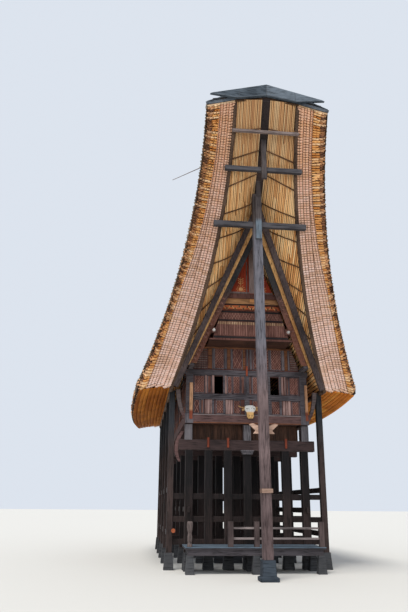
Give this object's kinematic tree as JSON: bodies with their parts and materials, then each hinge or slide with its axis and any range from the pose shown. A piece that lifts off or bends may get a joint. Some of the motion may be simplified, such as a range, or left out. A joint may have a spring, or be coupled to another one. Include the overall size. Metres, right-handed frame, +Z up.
{
  "type": "tongkonan house",
  "caption": "Wooden house raised on rows of posts, with carved gables and a boat-shaped bamboo roof whose swept ends rest on tall ridge posts.",
  "frame": {"origin": "on the ground at the middle of the house, under the middle of the ridge", "axes": "+Z up, +Y along the ridge from the front gable to the back gable, +X to the right when facing the front gable from outside"},
  "size_m": [6.2, 15.0206, 11.5],
  "materials": {
    "bamboo": "weathered split bamboo, satin",
    "dark_timber": "old dark hardwood, matt",
    "grey_timber": "grey weathered hardwood, matt",
    "brown_timber": "brown weathered hardwood, matt",
    "carved_timber": "carved and painted hardwood, worn matt",
    "red_timber": "red painted carved wood, worn matt",
    "stone": "grey stone, rough",
    "metal_sheet": "weathered zinc sheet, dull",
    "horn": "carved wood with horn, worn"
  },
  "bodies": {
    "root": {"roof_left": "bamboo", "roof_right": "bamboo", "ridge_beam": "dark_timber", "ridge_cap": "metal_sheet", "eave_pole_left": "dark_timber", "eave_pole_right": "dark_timber", "tie_low_front": "grey_timber", "tie_mid_front": "grey_timber", "tie_top_front": "grey_timber", "hanger_low_front": "grey_timber", "hanger_mid_front": "grey_timber", "barge_timbers_front": "dark_timber", "inner_rafters_front": "bamboo", "ridge_post_front": "brown_timber", "ridge_post_stone_front": "stone", "ridge_post_bracket_front": "bamboo", "gable_lower_front": "carved_timber", "gable_box_front": "carved_timber", "gable_top_front": "red_timber", "front_wall": "carved_timber", "tie_low_back": "grey_timber", "tie_mid_back": "grey_timber", "tie_top_back": "grey_timber", "hanger_low_back": "grey_timber", "hanger_mid_back": "grey_timber", "barge_timbers_back": "dark_timber", "inner_rafters_back": "bamboo", "ridge_post_back": "brown_timber", "ridge_post_stone_back": "stone", "ridge_post_bracket_back": "bamboo", "gable_lower_back": "carved_timber", "gable_box_back": "carved_timber", "gable_top_back": "red_timber", "back_wall": "carved_timber", "left_wall": "carved_timber", "right_wall": "carved_timber", "side_plate_left": "grey_timber", "side_plate_right": "grey_timber", "post_row_1": "dark_timber", "header_1": "brown_timber", "post_row_2": "dark_timber", "header_2": "brown_timber", "post_row_3": "dark_timber", "header_3": "brown_timber", "post_row_4": "dark_timber", "header_4": "brown_timber", "post_row_5": "dark_timber", "header_5": "brown_timber", "side_rail_left": "brown_timber", "side_rail_right": "brown_timber", "outer_posts_left": "dark_timber", "outer_posts_right": "dark_timber", "floor_frame": "carved_timber", "floor": "brown_timber", "floor_skirt": "brown_timber", "deck": "grey_timber", "deck_railing": "grey_timber", "deck_newel": "grey_timber", "buffalo_head": "horn"}
  },
  "joints": []
}
